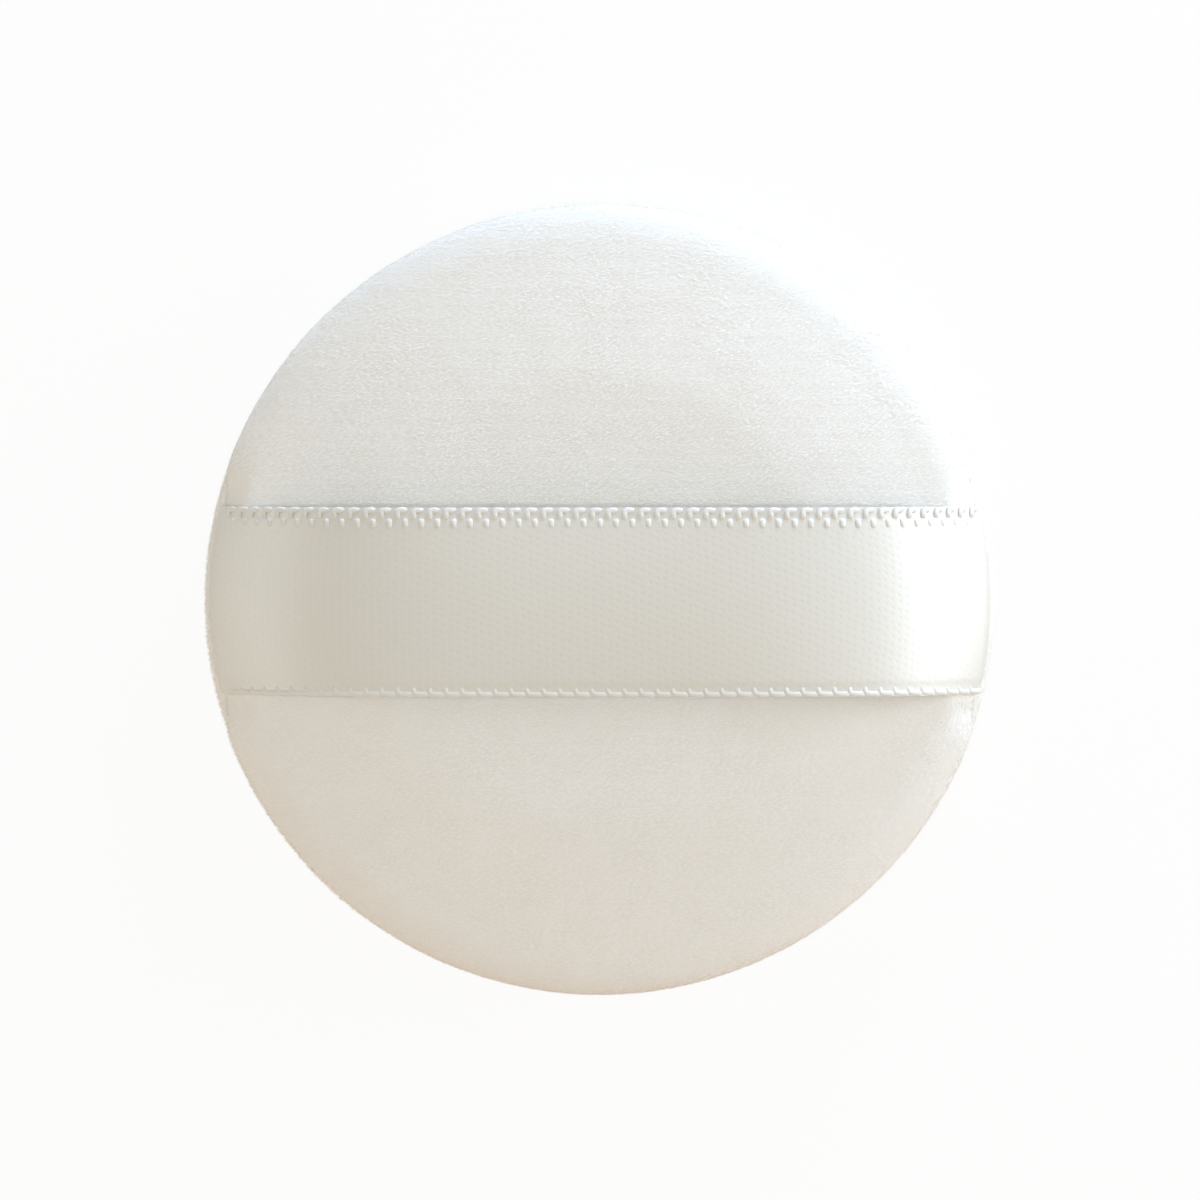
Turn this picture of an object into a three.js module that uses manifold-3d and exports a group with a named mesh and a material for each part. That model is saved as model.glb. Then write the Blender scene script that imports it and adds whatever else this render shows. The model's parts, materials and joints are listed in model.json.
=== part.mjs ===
// Powder puff: a round velour pad, filled with a foam disc, with a satin finger ribbon arched over it.
// Millimetres, +Z up. The origin is the middle of the face that the pad rests on, X runs along the
// ribbon and Y runs across it.
import * as THREE from "three";
import { mergeVertices } from "three/addons/utils/BufferGeometryUtils.js";
import Module from "manifold-3d";

const wasm = await Module();
wasm.setup();

// Sizes of the pad
const PUFF_DIAMETER = 63.5; // over the pile
const PAD_THICKNESS = 9; // over both covers
const COVER_THICKNESS = 1.6; // knitted backing and pile together
const SHOULDER_WIDTH = 12.75; // from the rim to the flat middle of the underside
const CROWN_FULLNESS = 3; // exponent of the upper dome: a higher one is flatter, with a rounder shoulder
const UNDERSIDE_FULLNESS = 2; // exponent of the shoulder round the resting face

// Sizes of the seam that joins the covers
const SEAM_GAP = 0.3; // between the two covers
const SEAM_INSET = 1.8; // depth of the groove between their rolled edges
const EDGE_ROLL_HEIGHT = 1.2; // from the seam to the widest line of a rolled edge
const ALLOWANCE_THICKNESS = 1.1; // velour turned in and pressed flat
const SEAM_ALLOWANCE = 3; // from the stitch row to the raw edge
const STITCH_SETBACK = 1.6; // from the inside of the cover's wall to the stitch row
const STITCH_LENGTH = 2.5;
const STITCH_RISE = 0.08; // how far a stitch stands up between its two needle holes
const THREAD_DIAMETER = 0.3;
const THREAD_CLEARANCE = 0.2; // between a thread and the velour that it beds into
const TURNING_GAP_LENGTH = 22; // left open to turn the pad right side out, then closed by hand
const CLOSING_STITCH_LENGTH = 1.8;
const CLOSING_DEPTH = 0.3; // from the rim to the closing thread

// Sizes of the finger ribbon
const RIBBON_WIDTH = 15;
const RIBBON_THICKNESS = 0.35;
const FINGER_GAP = 4.6; // between the crown of the pad and the ribbon's middle
const FOLD_RADIUS = 0.8; // of the ribbon's middle line where it turns up at the rim
const FOLD_SETBACK = 0.5; // from the rim to the outside of that fold
const ARCH_POWER = 4; // of the arch's curve: a higher one is flatter on top and steeper at the rim
const BRIDGE_LENGTH = 14; // the stretch of ribbon that a finger lifts
const BEDDED_LENGTH = 5; // of each leg, from the fold inward, that may sink into the velour
const LINK_GAP = 0.3; // along the ribbon, between its stretches
const FIT_CLEARANCE = 0.3; // between the ribbon or the foam and the velour round it
const TACK_INSET = 1.1; // from the raw edge to the row of tacking stitches
const TACK_MARGIN = 1; // from a side of the ribbon to the end of that row

// Fineness of the curved surfaces
const TURN_STEPS = 48;
const OUTSIDE_STEPS = 7;
const INSIDE_STEPS = 3;
const ROLL_STEPS = 3;
const FOLD_STEPS = 6;
const LEG_STEPS = 14;
const BEDDED_STEPS = 3;
const BRIDGE_STEPS = 6;
const WIDTH_STEPS = 5;
const THREAD_SIDES = 5;
const MERGE_DISTANCE = 1e-4;

// Places that follow from the sizes. Heights inside the pad are measured from the seam.
const RIM_RADIUS = PUFF_DIAMETER / 2;
const RESTING_FACE_RADIUS = RIM_RADIUS - SHOULDER_WIDTH;
const SEAM_HEIGHT = PAD_THICKNESS / 2;
const INNER_RADIUS = RIM_RADIUS - COVER_THICKNESS;
const INNER_HEIGHT = SEAM_HEIGHT - COVER_THICKNESS;
const GROOVE_RADIUS = RIM_RADIUS - SEAM_INSET;
const STITCH_RADIUS = INNER_RADIUS - STITCH_SETBACK;
const RAW_EDGE_RADIUS = STITCH_RADIUS - SEAM_ALLOWANCE;
const ALLOWANCE_TOP = SEAM_GAP / 2 + ALLOWANCE_THICKNESS;
const THREAD_RADIUS = THREAD_DIAMETER / 2;
const THREAD_HEIGHT = ALLOWANCE_TOP - THREAD_RADIUS;
const TURNING_GAP_ANGLE = TURNING_GAP_LENGTH / RIM_RADIUS;
const TURNING_GAP_MIDDLE = -Math.PI / 2; // on the side away from both ribbon ends
const UP = new THREE.Vector3(0, 0, 1);

// Finishes
const VELOUR = { color: 0xefece4, roughness: 0.95, metalness: 0 };
const FOAM = { color: 0xf3ead2, roughness: 0.9, metalness: 0 };
const SATIN = { color: 0xf0ece0, roughness: 0.45, metalness: 0 };
const THREAD = { color: 0xf5f3ee, roughness: 0.6, metalness: 0 };

// A shoulder's height at a radius, on a curve that is level at the middle and upright at the edge.
function shoulderHeight(radius, flatRadius, edgeRadius, top, bottom, fullness) {
  const share = Math.max(0, (radius - flatRadius) / (edgeRadius - flatRadius));
  return bottom + (top - bottom) * Math.sqrt(1 - share ** fullness);
}

// The same curve as points, from the middle to the edge, closer together where it turns down.
function shoulder(flatRadius, edgeRadius, top, bottom, fullness, steps) {
  const points = flatRadius > 0 ? [new THREE.Vector2(0, top)] : [];
  for (let i = 0; i <= steps; i++) {
    const turn = (i / steps) * (Math.PI / 2);
    const radius = flatRadius + (edgeRadius - flatRadius) * Math.sin(turn) ** (2 / fullness);
    points.push(new THREE.Vector2(radius, bottom + (top - bottom) * Math.cos(turn)));
  }
  return points;
}

// Height of a rolled edge above the seam, between the bottom of the groove and the rim.
function rollHeight(radius) {
  const share = (radius - GROOVE_RADIUS) / SEAM_INSET;
  return EDGE_ROLL_HEIGHT - (EDGE_ROLL_HEIGHT - SEAM_GAP / 2) * Math.sqrt(1 - share ** 2);
}

// A cover's section as radius and height from the seam: over the shoulder, round the rolled edge into
// the groove, along the allowance to its raw edge, back over the bed of the stitches, and up inside.
function coverSection(flatRadius, fullness) {
  const outside = shoulder(
    flatRadius, RIM_RADIUS, SEAM_HEIGHT, EDGE_ROLL_HEIGHT, fullness, OUTSIDE_STEPS,
  );
  const roll = [];
  for (let i = 1; i <= ROLL_STEPS; i++) {
    const turn = (i / ROLL_STEPS) * (Math.PI / 2);
    const radius = GROOVE_RADIUS + SEAM_INSET * Math.cos(turn);
    roll.push(new THREE.Vector2(radius, rollHeight(radius)));
  }
  const bedHalfWidth = THREAD_RADIUS + THREAD_CLEARANCE;
  const bedFloor = ALLOWANCE_TOP - THREAD_DIAMETER - THREAD_CLEARANCE;
  const allowance = [
    new THREE.Vector2(RAW_EDGE_RADIUS, SEAM_GAP / 2),
    new THREE.Vector2(RAW_EDGE_RADIUS, ALLOWANCE_TOP),
    new THREE.Vector2(STITCH_RADIUS - bedHalfWidth, ALLOWANCE_TOP),
    new THREE.Vector2(STITCH_RADIUS - bedHalfWidth, bedFloor),
    new THREE.Vector2(STITCH_RADIUS + bedHalfWidth, bedFloor),
    new THREE.Vector2(STITCH_RADIUS + bedHalfWidth, ALLOWANCE_TOP),
  ];
  const inside = shoulder(
    flatRadius, INNER_RADIUS, INNER_HEIGHT, ALLOWANCE_TOP, fullness, INSIDE_STEPS,
  );
  return [...outside, ...roll, ...allowance, ...inside.reverse()];
}

// Turns a section about the pad's axis. The section lists heights from the seam.
function turned(section) {
  const geometry = new THREE.LatheGeometry(section, TURN_STEPS);
  geometry.rotateX(Math.PI / 2);
  geometry.translate(0, 0, SEAM_HEIGHT);
  return geometry;
}

function solidOf(geometry) {
  const bare = geometry.clone();
  bare.deleteAttribute("normal");
  bare.deleteAttribute("uv");
  const merged = mergeVertices(bare, MERGE_DISTANCE);
  const mesh = new wasm.Mesh({
    numProp: 3,
    vertProperties: merged.getAttribute("position").array,
    triVerts: new Uint32Array(merged.index.array),
  });
  return new wasm.Manifold(mesh);
}

function cut(geometry, cutters) {
  const solid = cutters.reduce((left, cutter) => left.subtract(solidOf(cutter)), solidOf(geometry));
  const mesh = solid.getMesh();
  const result = new THREE.BufferGeometry();
  result.setAttribute("position", new THREE.BufferAttribute(mesh.vertProperties, mesh.numProp));
  result.setIndex(new THREE.BufferAttribute(mesh.triVerts, 1));
  result.computeVertexNormals();
  return result;
}

// A closed tube through points, with flat ends.
function tube(points, radius) {
  const positions = [];
  points.forEach((point, i) => {
    const before = points[Math.max(i - 1, 0)];
    const after = points[Math.min(i + 1, points.length - 1)];
    const along = after.clone().sub(before).normalize();
    const side = along.clone().cross(UP).normalize();
    const above = side.clone().cross(along);
    for (let k = 0; k < THREAD_SIDES; k++) {
      const turn = (2 * Math.PI * k) / THREAD_SIDES;
      const corner = point.clone();
      corner.addScaledVector(side, radius * Math.cos(turn));
      corner.addScaledVector(above, radius * Math.sin(turn));
      positions.push(...corner.toArray());
    }
  });
  const faces = [];
  const lastRing = (points.length - 1) * THREAD_SIDES;
  for (let first = 0; first < lastRing; first += THREAD_SIDES) {
    for (let k = 0; k < THREAD_SIDES; k++) {
      const a = first + k;
      const b = first + ((k + 1) % THREAD_SIDES);
      faces.push(a, a + THREAD_SIDES, b, b, a + THREAD_SIDES, b + THREAD_SIDES);
    }
  }
  for (let k = 1; k < THREAD_SIDES - 1; k++) {
    faces.push(0, k, k + 1, lastRing, lastRing + k + 1, lastRing + k);
  }
  const geometry = new THREE.BufferGeometry();
  geometry.setAttribute("position", new THREE.Float32BufferAttribute(positions, 3));
  geometry.setIndex(faces);
  geometry.computeVertexNormals();
  return geometry;
}

// Points of a row of stitches that goes round the pad, from a start angle through a sweep, and stands
// up between its needle holes.
function stitchRow(radius, height, startAngle, sweep, stitchLength, rise) {
  const stitches = Math.round((radius * sweep) / stitchLength);
  const points = [];
  for (let i = 0; i <= 2 * stitches; i++) {
    const angle = startAngle + (sweep * i) / (2 * stitches);
    const z = SEAM_HEIGHT + height + (i % 2) * rise;
    points.push(new THREE.Vector3(radius * Math.cos(angle), radius * Math.sin(angle), z));
  }
  return points;
}

// The ribbon's arch: where it leaves the fold, and its height over any point of the pad.
const ARCH_MIDDLE = PAD_THICKNESS + FINGER_GAP + RIBBON_THICKNESS / 2;
const FOLD_CENTRE_X = RIM_RADIUS - FOLD_SETBACK - RIBBON_THICKNESS / 2 - FOLD_RADIUS;
const FOLD_CENTRE_Z = SEAM_HEIGHT + FOLD_RADIUS;
const ARCH_SETTLING_STEPS = 12; // the fold's end and the arch's slope depend on each other

function settleArch() {
  let slope = Math.PI / 4;
  let foot = new THREE.Vector2();
  for (let i = 0; i < ARCH_SETTLING_STEPS; i++) {
    const out = FOLD_RADIUS * Math.sin(slope);
    const over = FOLD_RADIUS * Math.cos(slope);
    foot = new THREE.Vector2(FOLD_CENTRE_X + out, FOLD_CENTRE_Z + over);
    slope = Math.atan((ARCH_POWER * (ARCH_MIDDLE - foot.y)) / foot.x);
  }
  return { slope, foot };
}

const ARCH = settleArch();

function archPoint(x) {
  const drop = (ARCH_MIDDLE - ARCH.foot.y) * Math.abs(x / ARCH.foot.x) ** ARCH_POWER;
  return new THREE.Vector2(x, ARCH_MIDDLE - drop);
}

function archLine(fromX, toX, steps) {
  const points = [];
  for (let i = 0; i <= steps; i++) {
    points.push(archPoint(fromX + ((toX - fromX) * i) / steps));
  }
  return points;
}

// The ribbon's middle line from its raw end in the seam, out through the groove and round the fold.
function tailLine(rawEndX) {
  const points = [new THREE.Vector2(rawEndX, SEAM_HEIGHT)];
  for (let i = 0; i <= FOLD_STEPS; i++) {
    const turn = ((Math.PI - ARCH.slope) * i) / FOLD_STEPS;
    const x = FOLD_CENTRE_X + FOLD_RADIUS * Math.sin(turn);
    points.push(new THREE.Vector2(x, FOLD_CENTRE_Z - FOLD_RADIUS * Math.cos(turn)));
  }
  return points;
}

const LEG_FOOT_X = ARCH.foot.x - LINK_GAP * Math.cos(ARCH.slope);

function legLine() {
  return archLine(LEG_FOOT_X, (BRIDGE_LENGTH + LINK_GAP) / 2, LEG_STEPS);
}

function bridgeLine() {
  const endX = (BRIDGE_LENGTH - LINK_GAP) / 2;
  return archLine(endX, -endX, BRIDGE_STEPS);
}

// A flat band that follows a line in the XZ plane and reaches to both sides of it: inward, to the left
// of the way the line goes, and outward, to the right.
function band(line, inward, outward, width) {
  const inner = [];
  const outer = [];
  line.forEach((point, i) => {
    const before = line[Math.max(i - 1, 0)];
    const after = line[Math.min(i + 1, line.length - 1)];
    const along = after.clone().sub(before).normalize();
    const left = new THREE.Vector2(-along.y, along.x);
    inner.push(point.clone().addScaledVector(left, inward));
    outer.push(point.clone().addScaledVector(left, -outward));
  });
  const outline = new THREE.Shape([...outer, ...inner.reverse()]);
  const extent = { depth: width, steps: WIDTH_STEPS, bevelEnabled: false };
  const geometry = new THREE.ExtrudeGeometry(outline, extent);
  geometry.rotateX(Math.PI / 2);
  geometry.translate(0, width / 2, 0);
  return geometry;
}

// The ribbon is sewn into a round seam, so its sides are drawn in at its ends to follow the rim. The
// share of that at a place along the ribbon is 1 in the seam, and fades up the leg to the bridge.
function drawIn(geometry, shareAt) {
  const position = geometry.getAttribute("position");
  for (let i = 0; i < position.count; i++) {
    const x = position.getX(i);
    const rimBehind = RIM_RADIUS - Math.sqrt(RIM_RADIUS ** 2 - position.getY(i) ** 2);
    position.setX(i, x - rimBehind * shareAt(x));
  }
  geometry.computeVertexNormals();
  return geometry;
}

function legShare(x) {
  const bridgeEnd = BRIDGE_LENGTH / 2;
  return Math.max(0, (x - bridgeEnd) / (ARCH.foot.x - bridgeEnd)) ** 2;
}

function ribbonTail() {
  const line = tailLine(RAW_EDGE_RADIUS);
  return drawIn(band(line, RIBBON_THICKNESS / 2, RIBBON_THICKNESS / 2, RIBBON_WIDTH), () => 1);
}

function ribbonLeg() {
  return drawIn(band(legLine(), RIBBON_THICKNESS / 2, RIBBON_THICKNESS / 2, RIBBON_WIDTH), legShare);
}

function ribbonBridge() {
  return band(bridgeLine(), RIBBON_THICKNESS / 2, RIBBON_THICKNESS / 2, RIBBON_WIDTH);
}

// The room that a cover leaves round the ribbon: a clearance on all sides, and more on the outer side.
const ROOM_REACH = RIBBON_THICKNESS / 2 + FIT_CLEARANCE;
const ROOM_WIDTH = RIBBON_WIDTH + 2 * FIT_CLEARANCE;

function tailRoom(extraOutward) {
  const line = tailLine(RAW_EDGE_RADIUS - FIT_CLEARANCE);
  return drawIn(band(line, ROOM_REACH, ROOM_REACH + extraOutward, ROOM_WIDTH), () => 1);
}

function legRoom(extraOutward) {
  const line = archLine(ARCH.foot.x, ARCH.foot.x - BEDDED_LENGTH, BEDDED_STEPS);
  return drawIn(band(line, ROOM_REACH, ROOM_REACH + extraOutward, ROOM_WIDTH), legShare);
}

// The piece at the +X end of the ribbon, turned round to its -X end.
function atOtherEnd(geometry) {
  return geometry.clone().rotateZ(Math.PI);
}

// A short row of stitches that holds a ribbon end to the upper cover's allowance.
const TACK_LENGTH = RIBBON_WIDTH - 2 * TACK_MARGIN;

function tackRow(length, stitchLength, rise) {
  const radius = RAW_EDGE_RADIUS + TACK_INSET;
  const sweep = length / radius;
  return stitchRow(radius, THREAD_HEIGHT, -sweep / 2, sweep, stitchLength, rise);
}

function tackThread() {
  return tube(tackRow(TACK_LENGTH, STITCH_LENGTH, STITCH_RISE), THREAD_RADIUS);
}

function tackBed() {
  const length = TACK_LENGTH + 2 * THREAD_CLEARANCE;
  return tube(tackRow(length, length / 2, 0), THREAD_RADIUS + THREAD_CLEARANCE + STITCH_RISE);
}

// The hand stitches that close the turning gap, laced from side to side in the groove.
function closingLine() {
  const radius = RIM_RADIUS - CLOSING_DEPTH;
  const reach = rollHeight(radius - THREAD_RADIUS) - THREAD_CLEARANCE - THREAD_RADIUS;
  const start = TURNING_GAP_MIDDLE - TURNING_GAP_ANGLE / 2;
  return stitchRow(radius, -reach, start, TURNING_GAP_ANGLE, CLOSING_STITCH_LENGTH, 2 * reach);
}

// One thread of the machine seam, which stops at both ends of the turning gap.
function seamThread(height, rise) {
  const start = TURNING_GAP_MIDDLE + TURNING_GAP_ANGLE / 2;
  const sweep = 2 * Math.PI - TURNING_GAP_ANGLE;
  return tube(stitchRow(STITCH_RADIUS, height, start, sweep, STITCH_LENGTH, rise), THREAD_RADIUS);
}

function upperCover() {
  const section = coverSection(0, CROWN_FULLNESS).reverse();
  const atOneEnd = [tailRoom(SEAM_INSET), legRoom(SEAM_INSET), tackBed()];
  return cut(turned(section), [...atOneEnd, ...atOneEnd.map(atOtherEnd)]);
}

function lowerCover() {
  const section = coverSection(RESTING_FACE_RADIUS, UNDERSIDE_FULLNESS);
  section.forEach((point) => point.setY(-point.y));
  const room = tailRoom(0);
  return cut(turned(section), [room, atOtherEnd(room)]);
}

// The foam disc fills the space between the covers, inside the ring of turned-in allowances.
function foamCore() {
  const foamRadius = RAW_EDGE_RADIUS - FIT_CLEARANCE;
  const above = [];
  const below = [];
  for (let i = 0; i <= INSIDE_STEPS; i++) {
    const radius = (foamRadius * i) / INSIDE_STEPS;
    const roof = shoulderHeight(radius, 0, INNER_RADIUS, INNER_HEIGHT, ALLOWANCE_TOP, CROWN_FULLNESS);
    const floor = shoulderHeight(
      radius, RESTING_FACE_RADIUS, INNER_RADIUS, INNER_HEIGHT, ALLOWANCE_TOP, UNDERSIDE_FULLNESS,
    );
    above.push(new THREE.Vector2(radius, roof - FIT_CLEARANCE));
    below.push(new THREE.Vector2(radius, FIT_CLEARANCE - floor));
  }
  return turned([...below, ...above.reverse()]);
}

function part(name, geometry, finish) {
  const mesh = new THREE.Mesh(geometry, new THREE.MeshStandardMaterial(finish));
  mesh.name = name;
  return mesh;
}

const tail = ribbonTail();
const leg = ribbonLeg();
const tack = tackThread();

const puff = new THREE.Group();
puff.name = "powder_puff";
puff.add(
  part("upper_cover", upperCover(), VELOUR),
  part("lower_cover", lowerCover(), VELOUR),
  part("foam_core", foamCore(), FOAM),
  part("ribbon_right_tail", tail, SATIN),
  part("ribbon_right_leg", leg, SATIN),
  part("ribbon_bridge", ribbonBridge(), SATIN),
  part("ribbon_left_leg", atOtherEnd(leg), SATIN),
  part("ribbon_left_tail", atOtherEnd(tail), SATIN),
  part("seam_needle_thread", seamThread(THREAD_HEIGHT, STITCH_RISE), THREAD),
  part("seam_bobbin_thread", seamThread(-THREAD_HEIGHT, -STITCH_RISE), THREAD),
  part("closing_thread", tube(closingLine(), THREAD_RADIUS), THREAD),
  part("right_tack_thread", tack, THREAD),
  part("left_tack_thread", atOtherEnd(tack), THREAD),
);

export default puff;
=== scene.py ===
"""Looks of a round velour powder puff with a satin finger ribbon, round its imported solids, in metres."""
import json
import math

import bpy
import numpy as np
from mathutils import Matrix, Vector
from mathutils.kdtree import KDTree


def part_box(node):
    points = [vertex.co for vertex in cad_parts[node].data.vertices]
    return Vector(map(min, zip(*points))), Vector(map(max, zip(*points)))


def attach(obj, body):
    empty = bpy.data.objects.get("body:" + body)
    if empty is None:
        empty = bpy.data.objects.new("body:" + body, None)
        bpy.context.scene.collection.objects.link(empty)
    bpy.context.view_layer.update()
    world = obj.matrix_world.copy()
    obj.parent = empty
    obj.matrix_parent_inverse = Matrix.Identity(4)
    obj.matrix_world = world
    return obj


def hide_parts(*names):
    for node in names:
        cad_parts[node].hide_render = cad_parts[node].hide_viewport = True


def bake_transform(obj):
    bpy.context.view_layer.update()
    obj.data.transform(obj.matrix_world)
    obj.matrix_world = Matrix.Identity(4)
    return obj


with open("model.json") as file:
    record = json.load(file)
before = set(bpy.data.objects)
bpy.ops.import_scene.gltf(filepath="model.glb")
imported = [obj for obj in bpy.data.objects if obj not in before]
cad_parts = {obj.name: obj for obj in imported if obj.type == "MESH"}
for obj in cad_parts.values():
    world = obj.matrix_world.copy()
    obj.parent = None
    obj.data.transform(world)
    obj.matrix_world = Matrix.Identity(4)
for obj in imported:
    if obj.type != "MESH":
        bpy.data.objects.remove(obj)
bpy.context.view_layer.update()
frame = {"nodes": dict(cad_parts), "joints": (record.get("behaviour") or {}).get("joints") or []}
MM = 0.001

# The pad, from the frame
UPPER_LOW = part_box("upper_cover")[0]
LOWER_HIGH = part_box("lower_cover")[1]
RIM_RADIUS = LOWER_HIGH.x
SEAM_HEIGHT = (UPPER_LOW.z + LOWER_HIGH.z) / 2
SEAM_GAP = UPPER_LOW.z - LOWER_HIGH.z

# The velour covers
TOP_SHOULDER = 10.5 * MM  # from the rim to the flat middle of the top
TOP_FULLNESS = 1.4  # exponent of the top shoulder's curve
RESTING_SHOULDER = 11 * MM  # from the rim to the flat middle of the underside
RESTING_FULLNESS = 2.4  # exponent of the lower shoulder's curve
EDGE_ROLL_HEIGHT = 1.2 * MM  # from the seam to the widest line of a rolled edge
EDGE_FULLNESS = 3.5  # exponent of the rolled edge's curve down to the seam
SEAM_INSET = 1.8 * MM  # depth of the groove between the rolled edges
ALLOWANCE_WIDTH = 4.4 * MM  # from the groove in to the raw edge
BACKING_THICKNESS = 1.0 * MM
COVER_TURNS = 240  # facets round a cover
COVER_STEP = 0.5 * MM  # between the rings of a cover
CROWN_POINTS = 400  # along a face's curve, before it is spaced
ROLL_POINTS = 120  # round a rolled edge, before it is spaced
BACKING_DARK = (0.85, 0.83, 0.78)
BACKING_LIGHT = (0.91, 0.90, 0.87)
MOTTLE_SCALE = 420.0  # of the backing's soft mottling, per metre

# The pile
PILE_LENGTH = 0.36 * MM
PILE_INSET = 0.2 * MM  # the backing lies this far below the nap's surface
RESTING_INSET = 0.15 * MM  # the nap that the pad rests on is pressed flatter
FIBRES_PER_PIECE = 48000
UPPER_SEED = 11  # the first of a cover's seeds, one for each shade
LOWER_SEED = 21
FIBRE_RADIUS = 0.03 * MM
NAP_WAY = (-1.0, -0.2, 0.0)  # the way that the nap is brushed
NAP_RISE = 0.28  # how steeply a fibre rises, against its lean along the nap
RUFFLE_SCALE = 160.0  # of the noise that turns the nap about, per metre
RUFFLE = 1.6  # how far it turns the nap
FIBRE_JITTER = 0.3  # how far each fibre leans its own way
SHORTEST_FIBRE = 0.75  # as a share of the pile's length
LONGEST_FIBRE = 1.05
LEAST_ROOM = 0.15  # no fibre grows where it has less room than this share of its length
COURSE_PITCH = 1.28 * MM  # between the knitted rows that the pile is looped through
COURSE_WANDER = 2.0  # how unevenly these rows run
BETWEEN_COURSES = 0.93  # the pile's length between the rows, as a share
YARN_SHADES = {
    "white": (0.93, 0.925, 0.91),
    "ivory": (0.92, 0.91, 0.89),
    "warm": (0.905, 0.89, 0.865),
}

# The filling's push on the skin
SIM_SCALE = 10  # the skin is blown up at ten times its size, as a cushion's cloth
SIM_VOXEL = 0.8 * MM  # of the even grid that the skin is made into
SIM_FRAMES = 20
SIM_PRESSURE = 0.5
SWELL_START = 0.15 * MM  # the skin's faces start this much nearer to the seam
SWELL_CAP = 0.25 * MM  # the farthest that the filling pushes
SWELL_NEIGHBOURS = 30  # points of the skin that a cover's point follows

# The ribbon
RIBBON_LOW, RIBBON_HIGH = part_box("ribbon_bridge")
RIBBON_WIDTH = RIBBON_HIGH.y - RIBBON_LOW.y
RIBBON_THICKNESS = 0.35 * MM
HINGE = next(joint["pos_m"] for joint in frame["joints"] if joint["name"] == "right_leg_tilt")
KNEE = RIBBON_HIGH.x  # where the stretch that a finger lifts ends
ARCH_MIDDLE = RIBBON_HIGH.z - RIBBON_THICKNESS / 2
ARCH_DROP = ARCH_MIDDLE - HINGE[2]
ARCH_POWER = 4
FOLD_RADIUS = 0.8 * MM
FOLD_CENTRE_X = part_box("ribbon_right_tail")[1].x - RIBBON_THICKNESS / 2 - FOLD_RADIUS
FOLD_CENTRE_Z = SEAM_HEIGHT + FOLD_RADIUS
RAW_END_X = RIM_RADIUS - SEAM_INSET - ALLOWANCE_WIDTH
RIBBON_CUP = 0.4 * MM  # how far the sides hang below the middle
ARCH_POINTS = 600  # along the arch, before it is spaced
FOLD_POINTS = 60  # round the fold, before it is spaced
RIBBON_STEP = 0.2 * MM  # between the ribbon's rows of facets
RIBBON_ACROSS = 60  # facets across the ribbon
SHARP_EDGE = math.radians(60)  # the ribbon's faces are shaded smooth below this angle
RIBBON_BED = 0.12 * MM  # between the ribbon and the backing that it presses down
BED_FADE = 4 * MM  # how far beside the ribbon the backing is still pressed

# The ribbon's weave
FLOAT_PITCH = 0.63 * MM  # between columns of binding points, along the ribbon
BINDING_PITCH = 0.6 * MM  # between binding points in a column
BINDING_STEP = 0.4  # how far each column is shifted against the last, as a share of that pitch
BINDING_JITTER = 0.3  # how unevenly the points lie
BINDING_MIDDLE = 0.08  # radius of a point's middle of full painted shade, as a share of the pitch
BINDING_EDGE = 0.4  # radius at which a point has faded out, as a share of the pitch
WARP_PITCH = 0.12 * MM  # between the yarns that run along the ribbon
WARP_WANDER = 0.4  # how unevenly they run
WARP_RELIEF = 0.25  # the warp's relief against that of the binding points
SATIN_LIGHT = (0.69, 0.665, 0.595)
SATIN_BINDING_SHADE = (0.672, 0.647, 0.577)  # painted shade in the dimples of the binding points
LOOP_PITCH = 2 * FLOAT_PITCH
LOOP_YARN_RADIUS = 0.24 * MM  # of a flat yarn, across
LOOP_YARN_FLATNESS = 0.5  # its thickness as a share of its width
SELVEDGE_WIDTH = 1.12 * MM
SELVEDGE_DROP = 0.07 * MM  # how far the woven ground under the loops lies below the satin
LOOP_LIE = 0.6  # how high a loop that isn't sunk lies, in halves of the yarn's thickness
LOOP_SIDES = 8  # facets round a loop's yarn
LINE_PARTS = 8  # straight parts of the selvedge's line to each loop
BACK_LOOP = (0.55, 0.1, 0.6)  # the cap's share of the pitch, and how far bar and cap are sunk
FRONT_LOOP = (1.1, 1.5, 1.55)  # the same for the front edge, whose loops lie almost flush
SELVEDGE_DARK = (0.76, 0.75, 0.71)
SELVEDGE_LIGHT = (0.82, 0.81, 0.78)

# The filling and the threads
FOAM_CELL_SHADE = (0.58, 0.52, 0.40)  # painted shade inside the cells
FOAM_LIGHT = (0.90, 0.84, 0.70)
FOAM_CELL_SCALE = 2200.0  # per metre
FOAM_CELL_EDGE = 0.5  # where a cell is at its lightest, as a share of its size
FOAM_PIT = 1.2 * MM  # between the larger pits of the foam's skin
FOAM_PIT_DEPTH = 0.25 * MM
FOAM_EDGE_POINTS = 12  # round the foam's softened edge
THREAD_DARK = (0.80, 0.79, 0.76)
THREAD_LIGHT = (0.92, 0.91, 0.89)
FILAMENT_SCALE = 9000.0  # of the fine streaks of a yarn, per metre

# The stage
PHOTO_SIDE_PX = 1200
PUFF_WIDTH_PX = 795
LENS_MM = 250.0
CAMERA_TILT = math.radians(-1.4)  # from straight down: below zero, it stands towards the back
WINDOW_PLACE = Vector((0.278, 0.055, 0.085))  # low on the right, to shine on the ribbon's end
WINDOW_SIZE = 0.22
WINDOW_POWER = 0.61
BACK_PLACE = Vector((0.10, 0.30, 0.04))  # a far window that lights the rim at the back
BACK_SIZE = 0.16
BACK_POWER = 1.22
CEILING_PLACE = Vector((0.0, 0.0, 0.6))  # straight above
CEILING_SIZE = 0.1
CEILING_POWER = 1.14
FILL_PLACE = Vector((-0.30, 0.0, 0.10))  # on the left, to brighten the ribbon's other end
FILL_SIZE = 0.2
FILL_POWER = 0.11
FRONT_PLACE = Vector((-0.08, -0.30, 0.028))  # low in front, to warm the front rim
FRONT_SIZE = 0.16
FRONT_POWER = 0.09
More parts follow.
